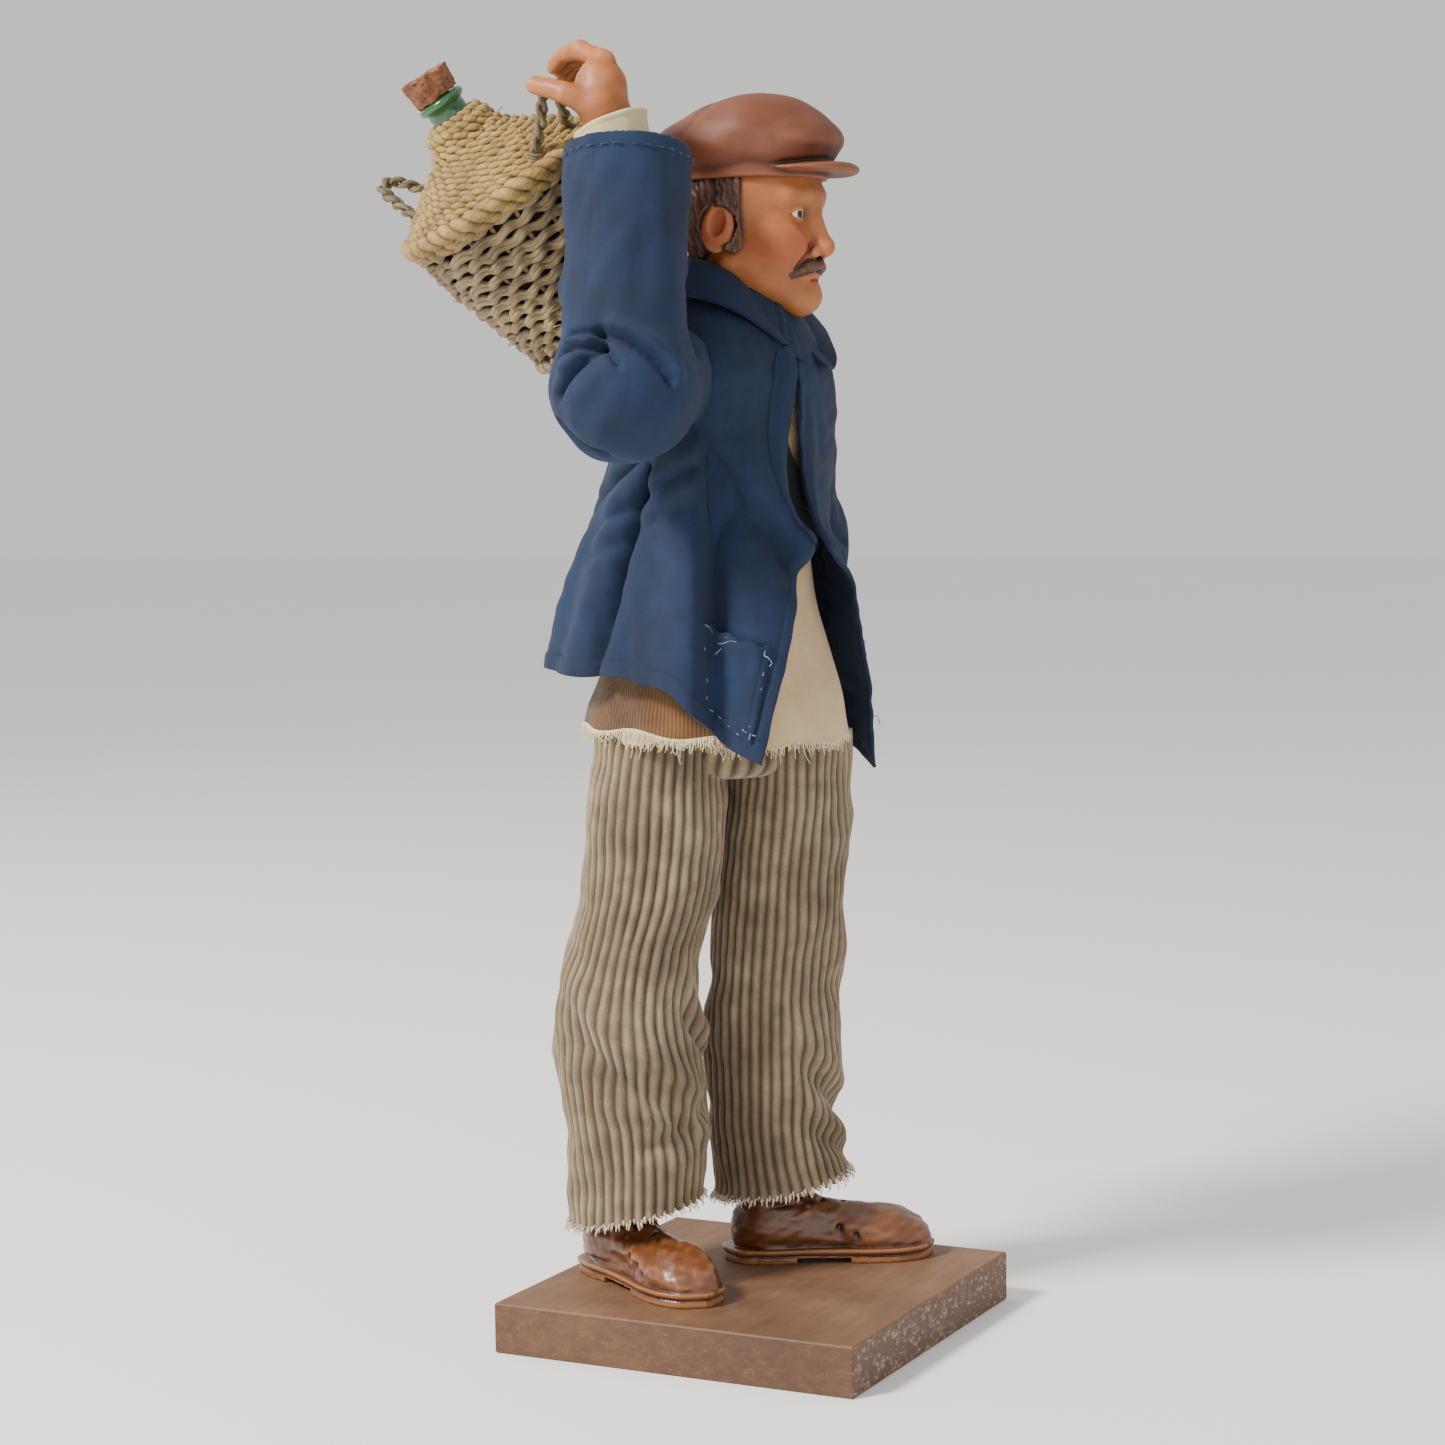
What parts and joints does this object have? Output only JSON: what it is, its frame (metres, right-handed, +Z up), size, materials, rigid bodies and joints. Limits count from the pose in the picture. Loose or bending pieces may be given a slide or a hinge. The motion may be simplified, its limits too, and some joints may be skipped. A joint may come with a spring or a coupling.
{
  "type": "carved wooden figurine",
  "caption": "Dressed figurine of a porter in a cap, standing on a square plinth and carrying a straw-covered demijohn by one handle behind the raised right arm.",
  "frame": {"origin": "middle of the plinth's underside", "axes": "+Z up; the figurine faces -Y; its right side is -X"},
  "size_m": [0.1323, 0.1401, 0.3204],
  "materials": {
    "painted_board": "matt brown paint over fibreboard, speckled on the cut edges",
    "shoe": "carved, painted brown and varnished",
    "painted_head": "carved and painted, dark brown hair and moustache",
    "cap_paint": "carved, satin terracotta paint",
    "skin_paint": "carved, satin skin-coloured paint",
    "blue_cotton": "plain-weave cotton with machine hems",
    "black_cloth": "fine matt cloth",
    "beige_cotton": "loose plain weave with raw edges",
    "white_cotton": "fine plain weave",
    "cream_cotton": "fine plain weave",
    "corduroy": "wide-ribbed cotton corduroy with frayed hems",
    "green_glass": "glossy green",
    "straw": "dry woven straw over a dark lining",
    "straw_cord": "twisted dry straw",
    "cork": "brown, hand-cut facets",
    "armature_wire": "bare soft wire, unseen",
    "padding": "cotton wadding bound with thread, unseen"
  },
  "bodies": {
    "figure": {"cap": "cap_paint", "head": "painted_head", "jacket_back": "blue_cotton", "jacket_collar": "blue_cotton", "jacket_left_front": "blue_cotton", "jacket_left_pocket": "blue_cotton", "jacket_left_sleeve": "blue_cotton", "jacket_right_front": "blue_cotton", "jacket_right_pocket": "blue_cotton", "jacket_right_sleeve": "blue_cotton", "left_arm_padding": "padding", "left_arm_wire": "armature_wire", "left_hand": "skin_paint", "left_leg_padding": "padding", "left_leg_wire": "armature_wire", "left_shoe": "shoe", "plinth": "painted_board", "right_arm_padding": "padding", "right_arm_wire": "armature_wire", "right_hand": "skin_paint", "right_leg_padding": "padding", "right_leg_wire": "armature_wire", "right_shoe": "shoe", "shirt_body": "beige_cotton", "shirt_collar": "white_cotton", "shirt_left_cuff": "cream_cotton", "shirt_right_cuff": "cream_cotton", "spine_wire": "armature_wire", "torso_padding": "padding", "trousers_left_leg": "corduroy", "trousers_right_leg": "corduroy", "trousers_seat": "corduroy", "waistcoat": "black_cloth"},
    "demijohn": {"demijohn_bottle": "green_glass", "straw_basket": "straw", "straw_cover": "straw", "held_handle": "straw_cord", "free_handle": "straw_cord"},
    "stopper": {"stopper": "cork"}
  },
  "joints": [
    {"name": "demijohn_swing", "type": "hinge", "parent": "figure", "child": "demijohn", "pos_m": [-0.04475, 0.02842, 0.31109], "axis": [0.8489, -0.1405, 0.5095], "range_deg": [0, 15]},
    {"name": "stopper_pull", "type": "slide", "parent": "demijohn", "child": "stopper", "axis": [-0.4216, 0.4015, 0.8131], "range_m": [0, 0.008]}
  ]
}
